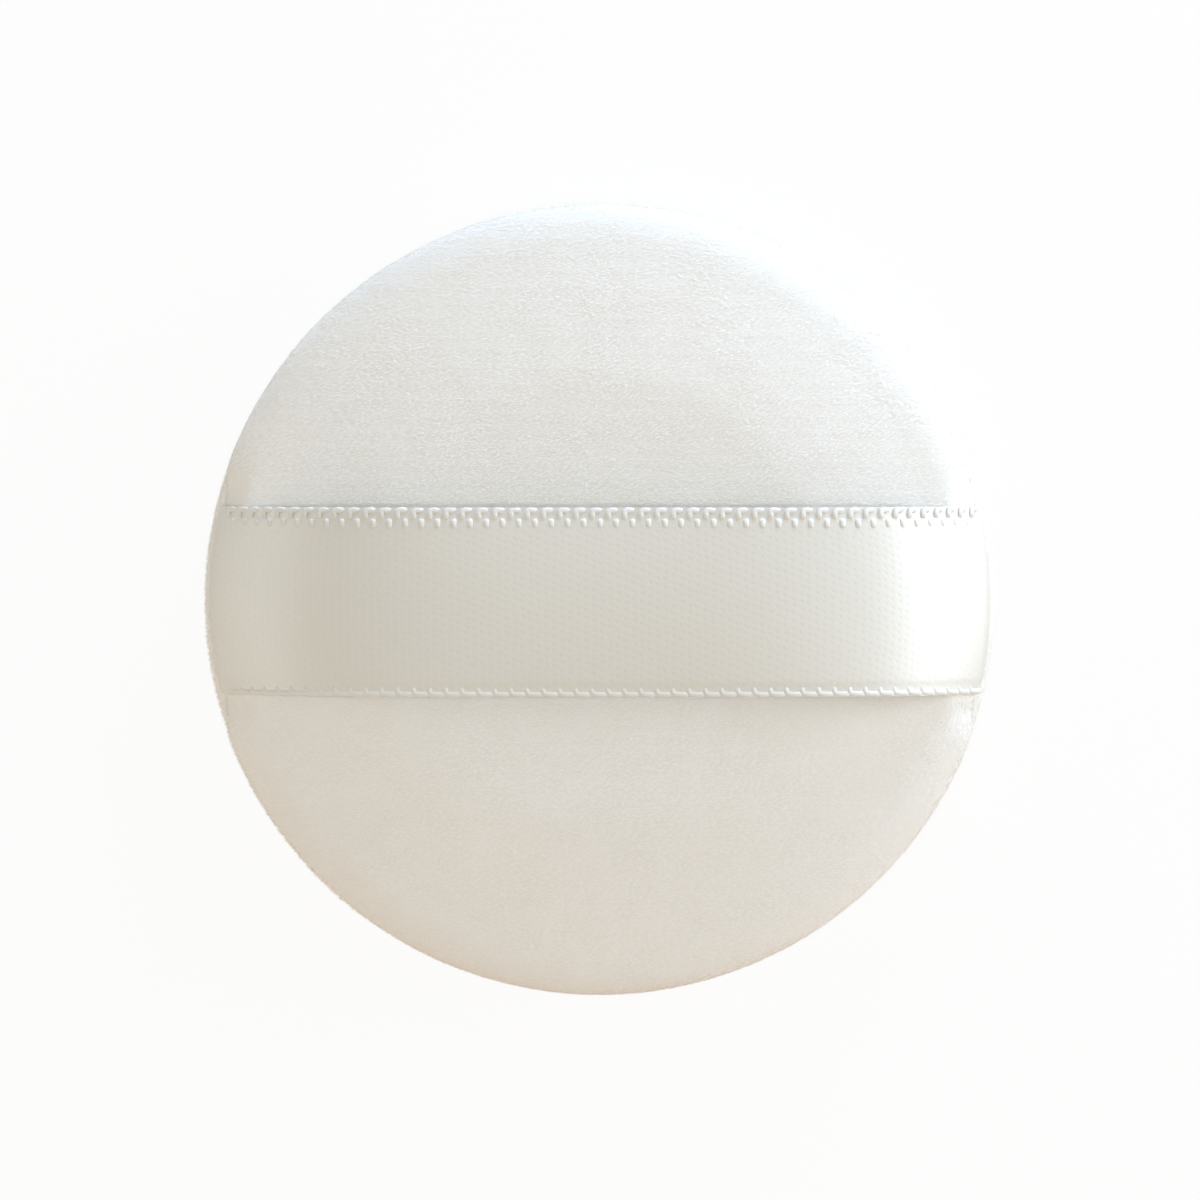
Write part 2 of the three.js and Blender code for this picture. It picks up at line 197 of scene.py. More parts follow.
DAYLIGHT = (0.825, 0.91, 1.0)
CEILING_LIGHT = (1.0, 0.98, 0.92)
WARM_LIGHT = (1.0, 0.82, 0.64)
FILL_LIGHT = (0.88, 1.0, 0.96)
FRONT_LIGHT = (1.0, 0.68, 0.45)
BACK_LIGHT = (0.60, 0.77, 1.0)
SKY_LIGHT = (0.82, 0.90, 1.0)
SKY_WAY = Vector((0.35, 0.8, 0.35)).normalized()  # towards the room's cool, dim side
SKY_STRENGTH = 0.1
ROOM_STRENGTH = 0.635  # on the room's warm side
TABLE_FRONT = (0.80, 0.60, 0.45)  # the table's shades, that light the puff from below
TABLE_BACK = (0.86, 0.88, 0.90)
FLOOR_COLOUR = (0.90, 0.89, 0.87, 1)  # of the paper that shows the shade
FLOOR_SIZE = 4.0
FLOOR_SHADE = 0.08  # how strongly the white floor shows shade


def add_node(tree, kind, inputs=None, **settings):
    """A node with its settings made and its inputs linked or set."""
    made = tree.nodes.new(kind)
    for name, value in settings.items():
        setattr(made, name, value)
    for key, value in (inputs or {}).items():
        if isinstance(value, bpy.types.NodeSocket):
            tree.links.new(value, made.inputs[key])
        else:
            made.inputs[key].default_value = value
    return made


def number_step(tree, operation, *values):
    return add_node(tree, "ShaderNodeMath", dict(enumerate(values)), operation=operation).outputs[0]


def vector_step(tree, operation, first, second):
    key = "Scale" if operation == "SCALE" else 1
    made = add_node(tree, "ShaderNodeVectorMath", {0: first, key: second}, operation=operation)
    return made.outputs["Value" if operation == "DOT_PRODUCT" else "Vector"]


def wave_scale(pitch):
    """The scale at which a wave texture's bands have this pitch."""
    return 0.1 * math.pi / pitch


def add_piece(name, mesh):
    piece = bpy.data.objects.new(name, mesh)
    bpy.context.scene.collection.objects.link(piece)
    return piece


def smooth_mesh(name, points, faces):
    mesh = bpy.data.meshes.new(name)
    mesh.from_pydata([tuple(point) for point in points], [], faces)
    mesh.polygons.foreach_set("use_smooth", [True] * len(mesh.polygons))
    mesh.update()
    return mesh


def evaluated_mesh(holder):
    """The holder's mesh with its modifiers applied. The holder is removed."""
    depsgraph = bpy.context.evaluated_depsgraph_get()
    mesh = bpy.data.meshes.new_from_object(holder.evaluated_get(depsgraph))
    bpy.data.objects.remove(holder)
    return mesh


def run_nodes(holder, tree, **inputs):
    """Sets a geometry tree's named inputs by their identifiers, and returns the mesh that it makes."""
    modifier = holder.modifiers.new(tree.name, "NODES")
    modifier.node_group = tree
    named = {item.name: item.identifier for item in tree.interface.items_tree if item.in_out == "INPUT"}
    for name, value in inputs.items():
        modifier[named[name.replace("_", " ")]] = value
    return evaluated_mesh(holder)


def along_line(line):
    """How far along a line each of its points lies."""
    return np.concatenate([[0], np.cumsum(np.linalg.norm(np.diff(line, axis=0), axis=1))])


def points_at(line, places):
    """Points of a line at the given distances along it."""
    along = along_line(line)
    return np.stack([np.interp(places, along, column) for column in line.T], axis=1)


def spaced(line, step):
    """A line's points again, about one step apart along it."""
    length = along_line(line)[-1]
    return points_at(line, np.linspace(0, length, math.ceil(length / step) + 1))


# Materials
def new_material(name):
    material = bpy.data.materials.new(name)
    material.use_nodes = True
    return material, material.node_tree, material.node_tree.nodes["Principled BSDF"]


def set_sockets(shader, **values):
    for name, value in values.items():
        shader.inputs[name.replace("_", " ")].default_value = value


def two_shades(tree, factor, dark, light):
    """A ramp from dark to light with the factor. Its alpha runs from 0 to 1 with it."""
    ramp = add_node(tree, "ShaderNodeValToRGB", {"Fac": factor})
    ramp.color_ramp.elements[0].color = (*dark, 0)
    ramp.color_ramp.elements[1].color = (*light, 1)
    return ramp


def add_relief(tree, shader, height, strength, depth):
    """A shader's fine relief, from a height."""
    bump = add_node(tree, "ShaderNodeBump", {"Height": height, "Strength": strength, "Distance": depth})
    tree.links.new(bump.outputs["Normal"], shader.inputs["Normal"])


def velour_backing():
    """Knitted ground of the velour, seen between the fibres: faint courses and soft mottling."""
    material, tree, shader = new_material("velour_backing")
    place = add_node(tree, "ShaderNodeTexCoord").outputs["Object"]
    courses = add_node(
        tree, "ShaderNodeTexWave",
        {"Vector": place, "Scale": wave_scale(COURSE_PITCH), "Distortion": COURSE_WANDER, "Detail": 2.0},
        bands_direction="Y",
    )
    mottle = add_node(tree, "ShaderNodeTexNoise", {"Vector": place, "Scale": MOTTLE_SCALE, "Detail": 4.0})
    shades = two_shades(tree, mottle.outputs["Fac"], BACKING_DARK, BACKING_LIGHT)
    tree.links.new(shades.outputs["Color"], shader.inputs["Base Color"])
    height = number_step(tree, "ADD", courses.outputs["Fac"], mottle.outputs["Fac"])
    add_relief(tree, shader, height, strength=0.15, depth=0.1 * MM)
    set_sockets(shader, Roughness=0.95, Sheen_Weight=0.3)
    return material


def pile_yarn(name, colour):
    """One shade of the cut fibres."""
    material, _, shader = new_material(name)
    set_sockets(
        shader, Base_Color=(*colour, 1), Roughness=0.75, Specular_IOR_Level=0.25,
        Sheen_Weight=0.5, Sheen_Roughness=0.6,
    )
    return material


def satin_weave():
    """Satin face: floats bound at staggered points, on the ribbon's own map in metres."""
    material, tree, shader = new_material("satin_weave")
    flat = add_node(tree, "ShaderNodeUVMap", uv_map="weave").outputs["UV"]
    split = add_node(tree, "ShaderNodeSeparateXYZ", {"Vector": flat})
    along = number_step(tree, "MULTIPLY", split.outputs["X"], 1 / FLOAT_PITCH)
    across = number_step(tree, "MULTIPLY", split.outputs["Y"], 1 / BINDING_PITCH)
    stepped = number_step(tree, "MULTIPLY_ADD", along, BINDING_STEP, across)
    lattice = add_node(tree, "ShaderNodeCombineXYZ", {"X": along, "Y": stepped})
    binding = add_node(
        tree, "ShaderNodeTexVoronoi",
        {"Vector": lattice.outputs["Vector"], "Scale": 1.0, "Randomness": BINDING_JITTER},
        voronoi_dimensions="2D",
    )
    # painted shade: the binding points darken towards their middles, where their dimples are deepest
    dots = two_shades(tree, binding.outputs["Distance"], SATIN_BINDING_SHADE, SATIN_LIGHT)
    dots.color_ramp.interpolation = "EASE"
    dots.color_ramp.elements[0].position = BINDING_MIDDLE
    dots.color_ramp.elements[1].position = BINDING_EDGE
    yarns = add_node(
        tree, "ShaderNodeTexWave",
        {"Vector": flat, "Scale": wave_scale(WARP_PITCH), "Distortion": WARP_WANDER},
        bands_direction="Y",
    )
    tree.links.new(dots.outputs["Color"], shader.inputs["Base Color"])
    height = number_step(tree, "MULTIPLY_ADD", yarns.outputs["Fac"], WARP_RELIEF, dots.outputs["Alpha"])
    add_relief(tree, shader, height, strength=0.2, depth=0.03 * MM)
    grain = add_node(tree, "ShaderNodeTangent", direction_type="UV_MAP", uv_map="weave").outputs[0]
    tree.links.new(grain, shader.inputs["Tangent"])
    set_sockets(
        shader, Roughness=0.48, IOR=2.0, Specular_IOR_Level=0.83,
        Anisotropic=0.7, Anisotropic_Rotation=0.25,
        Subsurface_Weight=0.3, Subsurface_Radius=(1.0, 0.9, 0.75), Subsurface_Scale=RIBBON_THICKNESS / 3,
    )
    return material


def fine_yarn(name, dark, light, roughness):
    """Spun or thrown yarn, with the fine streaks of its filaments."""
    material, tree, shader = new_material(name)
    place = add_node(tree, "ShaderNodeTexCoord").outputs["Object"]
    filaments = add_node(
        tree, "ShaderNodeTexNoise", {"Vector": place, "Scale": FILAMENT_SCALE, "Detail": 2.0},
    )
    shades = two_shades(tree, filaments.outputs["Fac"], dark, light)
    tree.links.new(shades.outputs["Color"], shader.inputs["Base Color"])
    add_relief(tree, shader, filaments.outputs["Fac"], strength=0.3, depth=0.03 * MM)
    set_sockets(shader, Roughness=roughness)
    return material


def open_cell_foam():
    """Cream foam with small open cells, painted darker towards each cell's middle as their shade."""
    material, tree, shader = new_material("open_cell_foam")
    place = add_node(tree, "ShaderNodeTexCoord").outputs["Object"]
    cells = add_node(tree, "ShaderNodeTexVoronoi", {"Vector": place, "Scale": FOAM_CELL_SCALE})
    # painted shade: each cell darkens towards its middle, where its relief is lowest
    shades = two_shades(tree, cells.outputs["Distance"], FOAM_CELL_SHADE, FOAM_LIGHT)
    shades.color_ramp.elements[1].position = FOAM_CELL_EDGE
    tree.links.new(shades.outputs["Color"], shader.inputs["Base Color"])
    add_relief(tree, shader, cells.outputs["Distance"], strength=1.0, depth=0.2 * MM)
    set_sockets(shader, Roughness=0.9)
    return material


# The pad's section: radius, and height from the seam
def crown_line(rim, top, shoulder, fullness):
    """From the middle of a face out to its widest line."""
    flat = RIM_RADIUS - shoulder
    turn = np.linspace(0, math.pi / 2, CROWN_POINTS)
    radius = flat + (rim - flat) * np.sin(turn) ** (2 / fullness)
    height = EDGE_ROLL_HEIGHT + (top - EDGE_ROLL_HEIGHT) * np.cos(turn)
    return np.concatenate([[[0, top]], np.stack([radius, height], axis=1)])


def roll_line(rim):
    """From the widest line round the rolled edge to the bottom of the groove."""
    turn = np.linspace(0, math.pi / 2, ROLL_POINTS)[1:]
    groove = RIM_RADIUS - SEAM_INSET
    inwards = np.maximum(np.cos(turn), 0) ** (2 / EDGE_FULLNESS)
    down = np.sin(turn) ** (2 / EDGE_FULLNESS)
    radius = groove + (rim - groove) * inwards
    height = EDGE_ROLL_HEIGHT - (EDGE_ROLL_HEIGHT - SEAM_GAP / 2) * down
    return np.stack([radius, height], axis=1)


def outer_line(inset, *shape):
    rim = RIM_RADIUS - PILE_INSET
    crown = crown_line(rim, SEAM_HEIGHT - inset - SWELL_START, *shape)
    return spaced(np.concatenate([crown, roll_line(rim)]), COVER_STEP)


def inner_line(inset, *shape):
    """In along the allowance to its raw edge, up, and back under the backing to the middle."""
    rim = RIM_RADIUS - PILE_INSET - BACKING_THICKNESS
    ceiling = crown_line(rim, SEAM_HEIGHT - inset - SWELL_START - BACKING_THICKNESS, *shape)[::-1]
    raw_edge = np.array([[RAW_END_X, SEAM_GAP / 2], [RAW_END_X, EDGE_ROLL_HEIGHT]])
    return spaced(np.concatenate([raw_edge, ceiling]), 3 * COVER_STEP)


def set_up(line, up):
    """A section's heights from the floor: the upper cover's are above the seam and the lower one's below,
    where the order is turned round to keep its faces outwards."""
    placed = np.stack([line[:, 0], SEAM_HEIGHT + up * line[:, 1]], axis=1)
    return placed[::up]


def turned(line):
    """Points and faces of a section turned about the pad's axis. A radius of zero at an end closes it."""
    angles = np.arange(COVER_TURNS) * (2 * math.pi / COVER_TURNS)
    points, rings = [], []
    for radius, height in line:
        start = len(points)
        if radius < COVER_STEP / 100:
            points.append((0, 0, height))
            rings.append([start] * COVER_TURNS)
        else:
            points += [(radius * math.cos(a), radius * math.sin(a), height) for a in angles]
            rings.append(range(start, start + COVER_TURNS))
    faces = []
    for ring, after in zip(rings, rings[1:]):
        for k in range(COVER_TURNS):
            j = (k + 1) % COVER_TURNS
            corners = (ring[k], after[k], after[j], ring[j])
            faces.append(tuple(dict.fromkeys(corners)))
    return np.array(points), faces


# The filling's push
def swell_field(upper_outside, lower_outside):
    """A tree of the skin's points, and how far the filling moves each one, by cloth simulation."""
    skin_line = np.concatenate([set_up(upper_outside, 1), set_up(lower_outside, -1)])
    points, faces = turned(skin_line)
    skin = add_piece("skin", smooth_mesh("skin", points * SIM_SCALE, faces))
    remesh = skin.modifiers.new("even_grid", "REMESH")
    remesh.mode = "VOXEL"
    remesh.voxel_size = SIM_VOXEL * SIM_SCALE
    skin = add_piece("skin", evaluated_mesh(skin))
    count = len(skin.data.vertices)
    rest = np.empty(3 * count)
    skin.data.vertices.foreach_get("co", rest)
    rest = rest.reshape(-1, 3)
    at_rim = np.hypot(rest[:, 0], rest[:, 1]) / SIM_SCALE > RIM_RADIUS - SEAM_INSET - COVER_STEP
    sewn = skin.vertex_groups.new(name="sewn")
    sewn.add(np.flatnonzero(at_rim).tolist(), 1.0, "ADD")
    cloth = skin.modifiers.new("filling", "CLOTH").settings
    cloth.vertex_group_mass = "sewn"
    cloth.use_pressure = True
    cloth.uniform_pressure_force = SIM_PRESSURE
    cloth.effector_weights.gravity = 0
    for step in range(1, SIM_FRAMES + 1):
        bpy.context.scene.frame_set(step)
    blown = np.empty(3 * count)
    depsgraph = bpy.context.evaluated_depsgraph_get()
    skin.evaluated_get(depsgraph).data.vertices.foreach_get("co", blown)
    moved = (blown.reshape(-1, 3) - rest) / SIM_SCALE
    far = np.linalg.norm(moved, axis=1)
    moved *= (SWELL_CAP / np.maximum(far, SWELL_CAP))[:, None]
    bpy.data.objects.remove(skin)
    bpy.context.scene.frame_set(1)
    tree = KDTree(count)
    for i, point in enumerate(rest / SIM_SCALE):
        tree.insert(point, i)
    tree.balance()
    return tree, moved


def swollen(points, field):
    """Points moved as the skin near them was moved."""
    tree, moved = field
    out = points.copy()
    for i, point in enumerate(points):
        near = tree.find_n(point, SWELL_NEIGHBOURS)
        weights = np.array([1 / (distance + SIM_VOXEL) ** 2 for _, _, distance in near])
        shifts = moved[[index for _, index, _ in near]]
        out[i] += weights @ shifts / weights.sum()
    return out


# The ribbon's middle line: across, and height
def ribbon_line():
    """From the ribbon's middle over the arch, round the fold, to its raw end in the seam."""
    slope = math.atan(ARCH_POWER * ARCH_DROP / HINGE[0])
    foot = FOLD_CENTRE_X + FOLD_RADIUS * math.sin(slope)
    x = np.linspace(0, foot, ARCH_POINTS)
    arch = np.stack([x, ARCH_MIDDLE - ARCH_DROP * (x / HINGE[0]) ** ARCH_POWER], axis=1)
    turn = np.linspace(slope, math.pi, FOLD_POINTS)[1:]
    fold = np.stack(
        [FOLD_CENTRE_X + FOLD_RADIUS * np.sin(turn), FOLD_CENTRE_Z + FOLD_RADIUS * np.cos(turn)], axis=1,
    )
    return spaced(np.concatenate([arch, fold, [[RAW_END_X, SEAM_HEIGHT]]]), RIBBON_STEP)


def line_normals(line):
    """Unit normals of a line in its plane, to the left of the way it goes."""
    along = np.gradient(line, axis=0)
    along /= np.linalg.norm(along, axis=1)[:, None]
    return np.stack([-along[:, 1], along[:, 0]], axis=1)


RIBBON_LINE = ribbon_line()
RIBBON_NORMALS = line_normals(RIBBON_LINE)
ARCH_LENGTH = along_line(RIBBON_LINE)[np.argmax(RIBBON_LINE[:, 0])]  # of one half, down to the rim


def cupped(x, y):
    """How far the ribbon's sides hang below its middle line, less and less towards its ends."""
    share = np.clip((x - KNEE) / (HINGE[0] - KNEE), 0, 1)
    return RIBBON_CUP * (2 * y / RIBBON_WIDTH) ** 2 * (1 - share)


def drawn_in(x, y):
    """How far the ribbon's sides are pulled in towards its ends, to follow the round seam."""
    share = np.clip((x - KNEE) / (HINGE[0] - KNEE), 0, 1) ** 2
    return (RIM_RADIUS - np.sqrt(RIM_RADIUS**2 - np.minimum(np.abs(y), RIBBON_WIDTH) ** 2)) * share


def clear_of_ribbon(points, up):
    """Points of a cover moved off the ribbon where it beds into the velour at the rim, and each one's room
    for pile. The upper cover lies inside the ribbon's fold, and the lower one under its tail. Beside the
    ribbon the backing comes back up gradually, and the pile within its own length."""
    margin = RIBBON_THICKNESS / 2 + RIBBON_BED
    first = 0 if up > 0 else int(np.argmax(RIBBON_LINE[:, 0]))
    tree = KDTree(len(RIBBON_LINE) - first)
    for i, (x, z) in enumerate(RIBBON_LINE[first:], first):
        tree.insert((x, 0, z), i)
    tree.balance()
    moved = points.copy()
    room = np.ones(len(points))
    for i, (x, y, z) in enumerate(points):
        beside = abs(y) - RIBBON_WIDTH / 2
        if beside > BED_FADE or abs(x) < KNEE:
            continue
        fade = 1 - max(0, beside / BED_FADE)
        fade = fade * fade * (3 - 2 * fade)
        covered = np.clip(1 - beside / PILE_LENGTH, 0, 1)
        shift = drawn_in(abs(x), y)
        place = np.array([abs(x) + shift, z])
        nearest = tree.find((place[0], 0, place[1]))[1]
        away = -up * RIBBON_NORMALS[nearest]
        gap = (place - RIBBON_LINE[nearest]) @ away
        room[i] = 1 - covered * (1 - np.clip((gap - margin) / PILE_LENGTH, 0, 1))
        if gap < margin:
            place = place + fade * (margin - gap) * away
            moved[i, 0] = math.copysign(place[0] - shift, x)
            moved[i, 2] = place[1]
    return moved, room


def shaped(points, up, field):
    """A cover's points, swollen by the filling, flat where the pad rests and pressed in by the ribbon, and
    each one's room for pile, which is also limited by the floor."""
    points = swollen(points, field) if field else points
    points[:, 2] = np.maximum(points[:, 2], RESTING_INSET)
    points, room = clear_of_ribbon(points, up)
    return points, np.minimum(room, points[:, 2] / PILE_LENGTH)


# The pile
def new_tree(name, **sockets):
    """An empty geometry tree with named inputs."""
    tree = bpy.data.node_groups.new(name, "GeometryNodeTree")
    tree.interface.new_socket("Geometry", in_out="INPUT", socket_type="NodeSocketGeometry")
    for socket, kind in sockets.items():
        tree.interface.new_socket(socket.replace("_", " "), in_out="INPUT", socket_type=f"NodeSocket{kind}")
    tree.interface.new_socket("Geometry", in_out="OUTPUT", socket_type="NodeSocketGeometry")
    return tree, add_node(tree, "NodeGroupInput").outputs


def finish_tree(tree, instances, material):
    real = add_node(tree, "GeometryNodeRealizeInstances", {"Geometry": instances})
    dyed = add_node(tree, "GeometryNodeSetMaterial", {"Geometry": real.outputs[0], "Material": material})
    add_node(tree, "NodeGroupOutput", {"Geometry": dyed.outputs[0]})


def pile_tree():
    """Grows leaning cut fibres all over a surface, a little shorter between the knitted courses."""
    tree, given = new_tree(
        "velour_pile", Density="Float", Pile_Length="Float", Fibre_Radius="Float", Nap_Way="Vector",
        Nap_Rise="Float", Course_Scale="Float", Seed="Int", Yarn="Material",
    )
    scatter = add_node(
        tree, "GeometryNodeDistributePointsOnFaces",
        {"Mesh": given["Geometry"], "Density": given["Density"], "Seed": given["Seed"]},
    )
    place = add_node(tree, "GeometryNodeInputPosition").outputs[0]
    brushed = add_node(tree, "ShaderNodeTexNoise", {"Vector": place, "Scale": RUFFLE_SCALE, "Detail": 2.0})
    ruffled = vector_step(tree, "SUBTRACT", brushed.outputs["Color"], (0.5, 0.5, 0.5))
    ruffled = vector_step(tree, "SCALE", ruffled, RUFFLE)
    jitter = add_node(
        tree, "FunctionNodeRandomValue",
        {"Min": (-FIBRE_JITTER,) * 3, "Max": (FIBRE_JITTER,) * 3, "Seed": given["Seed"]},
        data_type="FLOAT_VECTOR",
    )
    lean = vector_step(tree, "ADD", given["Nap Way"], ruffled)
    lean = vector_step(tree, "ADD", lean, jitter.outputs[0])
    normal = scatter.outputs["Normal"]
    out_of_surface = vector_step(tree, "DOT_PRODUCT", lean, normal)
    lift = number_step(tree, "SUBTRACT", given["Nap Rise"], out_of_surface)
    way = vector_step(tree, "ADD", lean, vector_step(tree, "SCALE", normal, lift))
    turn = add_node(
        tree, "FunctionNodeAxesToRotation",
        {"Primary Axis": way, "Secondary Axis": vector_step(tree, "SCALE", normal, -1.0)},
        primary_axis="Z", secondary_axis="X",
    )
    uneven = add_node(
        tree, "FunctionNodeRandomValue",
        {2: SHORTEST_FIBRE, 3: LONGEST_FIBRE, "Seed": given["Seed"]}, data_type="FLOAT",
    )
    courses = add_node(
        tree, "ShaderNodeTexWave",
        {"Vector": place, "Scale": given["Course Scale"], "Distortion": COURSE_WANDER, "Detail": 2.0},
        bands_direction="Y",
    )
    course = add_node(
        tree, "ShaderNodeMapRange",
        {"Value": courses.outputs["Fac"], "To Min": BETWEEN_COURSES, "To Max": 1.0},
    )
    room = add_node(
        tree, "GeometryNodeInputNamedAttribute", {"Name": "pile_room"}, data_type="FLOAT",
    ).outputs["Attribute"]
    length = number_step(tree, "MULTIPLY", uneven.outputs[1], room)
    length = number_step(tree, "MULTIPLY", length, course.outputs[0])
    length = number_step(tree, "MULTIPLY", length, given["Pile Length"])
    size = add_node(
        tree, "ShaderNodeCombineXYZ", {"X": given["Fibre Radius"], "Y": given["Fibre Radius"], "Z": length},
    )
    grown = add_node(
        tree, "FunctionNodeCompare", {0: room, 1: LEAST_ROOM}, data_type="FLOAT", operation="GREATER_THAN",
    )
    fibre = add_node(
        tree, "GeometryNodeMeshCone",
        {"Vertices": 3, "Side Segments": 1, "Fill Segments": 1,
         "Radius Top": 0.0, "Radius Bottom": 1.0, "Depth": 1.0},
    )
    planted = add_node(
        tree, "GeometryNodeInstanceOnPoints",
        {"Points": scatter.outputs["Points"], "Selection": grown.outputs[0],
         "Instance": fibre.outputs["Mesh"], "Rotation": turn.outputs[0], "Scale": size.outputs[0]},
    )
    finish_tree(tree, planted.outputs[0], given["Yarn"])
    return tree


def grow_pile(cover_name, ground, tree, first_seed):
    """The pile of one cover, a piece for each shade of its yarn."""
    area = sum(face.area for face in ground.polygons)
    for i, shade in enumerate(YARN_SHADES):
        mesh = run_nodes(
            add_piece("pile_ground", ground), tree,
            Density=FIBRES_PER_PIECE / area, Pile_Length=PILE_LENGTH, Fibre_Radius=FIBRE_RADIUS,
            Nap_Way=NAP_WAY, Nap_Rise=NAP_RISE, Course_Scale=wave_scale(COURSE_PITCH),
            Seed=first_seed + i, Yarn=bpy.data.materials[f"pile_{shade}"],
        )
        pile = add_piece(f"{cover_name}_pile_{shade}", mesh)
        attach(pile, "pad")


def make_cover(name, up, outside, inside, field, backing, tree, seed):
    """A cover's backing as one closed shell, with the pile on its outside."""
    points, faces = turned(set_up(np.concatenate([outside, inside]), up))
    points, _ = shaped(points, up, field)
    shell = add_piece(f"{name}_backing", smooth_mesh(f"{name}_backing", points, faces))
    shell.data.materials.append(backing)
    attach(shell, "pad")
    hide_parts(name)
    points, faces = turned(set_up(outside, up))
    points, room = shaped(points, up, field)
    ground = smooth_mesh("pile_ground", points, faces)
    ground.attributes.new("pile_room", "FLOAT", "POINT").data.foreach_set("value", room.astype(np.float32))
    grow_pile(name, ground, tree, seed)


def make_covers():
    backing = velour_backing()
    for shade, colour in YARN_SHADES.items():
        pile_yarn(f"pile_{shade}", colour)
    tree = pile_tree()
    upper = (PILE_INSET, TOP_SHOULDER, TOP_FULLNESS)
    lower = (RESTING_INSET, RESTING_SHOULDER, RESTING_FULLNESS)
    upper_outside, lower_outside = outer_line(*upper), outer_line(*lower)
    field = swell_field(upper_outside, lower_outside)
    make_cover("upper_cover", 1, upper_outside, inner_line(*upper), field, backing, tree, UPPER_SEED)
    make_cover("lower_cover", -1, lower_outside, inner_line(*lower), field, backing, tree, LOWER_SEED)


# The ribbon, in two halves, each from its middle over the arch to the seam
def ribbon_point(side, place, across, raised):
    """A point of the ribbon, at a distance from its middle, across it and above its middle line."""
    along = along_line(RIBBON_LINE)
    x, z = points_at(RIBBON_LINE, [place])[0]
    nx, nz = (np.interp(place, along, RIBBON_NORMALS[:, k]) for k in range(2))
    raised = raised - cupped(x, across)
    return np.array([side * (x + nx * raised - drawn_in(x, across)), across, z + nz * raised])


def ribbon_half(name, side, material):
    """A closed strip, its sides a little lower where the looped selvedges lie on them."""
    across = np.linspace(-RIBBON_WIDTH / 2, RIBBON_WIDTH / 2, RIBBON_ACROSS + 1)
    into_selvedge = np.clip((np.abs(across) - RIBBON_WIDTH / 2 + SELVEDGE_WIDTH) / (FLOAT_PITCH / 2), 0, 1)
    raised = RIBBON_THICKNESS / 2 - SELVEDGE_DROP * into_selvedge
    along = along_line(RIBBON_LINE)
    rows = len(RIBBON_LINE)
    wide = RIBBON_ACROSS + 1
    points, flat = [], []
    for face in (1, -1):
        for (x, z), (nx, nz), place in zip(RIBBON_LINE, RIBBON_NORMALS, along):
            rise = face * raised - cupped(x, across)
            out = side * (x + nx * rise - drawn_in(x, across))
            points.append(np.stack([out, across, z + nz * rise], axis=1))
            flat += [(side * place, y) for y in across]
    sheet = rows * wide
    woven, edges = [], []
    for i in range(rows - 1):
        for j in range(RIBBON_ACROSS):
            a = i * wide + j
            b = a + sheet
            woven.append((a, a + wide, a + wide + 1, a + 1))
            woven.append((b, b + 1, b + wide + 1, b + wide))
        a = i * wide
        b = a + RIBBON_ACROSS
        edges.append((a, a + sheet, a + sheet + wide, a + wide))
        edges.append((b, b + wide, b + wide + sheet, b + sheet))
    for j in range(RIBBON_ACROSS):
        b = (rows - 1) * wide + j
        edges.append((j, j + 1, j + 1 + sheet, j + sheet))
        edges.append((b, b + sheet, b + sheet + 1, b + 1))
    faces = woven + edges
    faces = faces if side > 0 else [face[::-1] for face in faces]
    mesh = smooth_mesh(name, np.concatenate(points), faces)
    mesh.set_sharp_from_angle(angle=SHARP_EDGE)
    layer = mesh.uv_layers.new(name="weave")
    for loop in mesh.loops:
        layer.data[loop.index].uv = flat[loop.vertex_index]
    mesh.materials.append(material)
    return add_piece(name, mesh)


def flat_yarn(path, radius, sides):
    """Points and faces of a closed length of flat yarn along a path."""
    path = np.array(path)
    along = np.gradient(path, axis=0)
    along /= np.linalg.norm(along, axis=1)[:, None]
    beside = np.cross(along, (0, 0, 1))
    beside /= np.linalg.norm(beside, axis=1)[:, None]
    above = np.cross(beside, along)
    points = []
    for centre, right, up in zip(path, beside, above):
        for k in range(sides):
            turn = 2 * math.pi * k / sides
            offset = math.cos(turn) * right + LOOP_YARN_FLATNESS * math.sin(turn) * up
            points.append(centre + radius * offset)
    faces = [tuple(range(sides)), tuple(reversed(range(len(points) - sides, len(points))))]
    for ring in range(len(path) - 1):
        for k in range(sides):
            a = ring * sides
            j = (k + 1) % sides
            faces.append((a + k, a + sides + k, a + sides + j, a + j))
    return points, faces


def selvedge_loop(edge, cap, bar_sunk, cap_sunk):
    """One weft loop and the nub beside it, as an object to repeat: X runs along the ribbon, Y towards its
    edge and Z up. The loop comes over the edge as a bar, turns along it for the cap's length and goes back
    under. Each is sunk into the ribbon by a share of half the yarn's thickness."""
    inner = 2 * LOOP_YARN_RADIUS - SELVEDGE_WIDTH
    half = LOOP_YARN_FLATNESS * LOOP_YARN_RADIUS  # of the yarn's thickness
    low = (LOOP_LIE - bar_sunk) * half
    rim = (LOOP_LIE - cap_sunk) * half
    bar = [(0, inner, low - 1.6 * half), (0, 0.9 * inner, low - 0.2 * half), (0, 0.4 * inner, low)]
    turn = [(0.08 * cap, 0.08 * inner, (low + rim) / 2), (0.35 * cap, 0, rim), (0.7 * cap, 0, rim)]
    back = [(0.9 * cap, 0.05 * inner, rim - 0.8 * half), (cap, 0.3 * inner, rim - 2.5 * half)]
    nub = []
    for k in (-1.4, -0.8, 0.8, 1.4):
        y = inner - (1.7 + k) * LOOP_YARN_RADIUS
        nub.append((LOOP_PITCH / 2, y, low - 1.5 * half * (abs(k) - 0.8)))
    points, faces = [], []
    for path in (bar + turn + back, nub):
        more, sides = flat_yarn([(x, edge * y, z) for x, y, z in path], LOOP_YARN_RADIUS, LOOP_SIDES)
        faces += [tuple(len(points) + k for k in face) for face in sides]
        points += more
    return add_piece("selvedge_loop", smooth_mesh("selvedge_loop", points, faces))


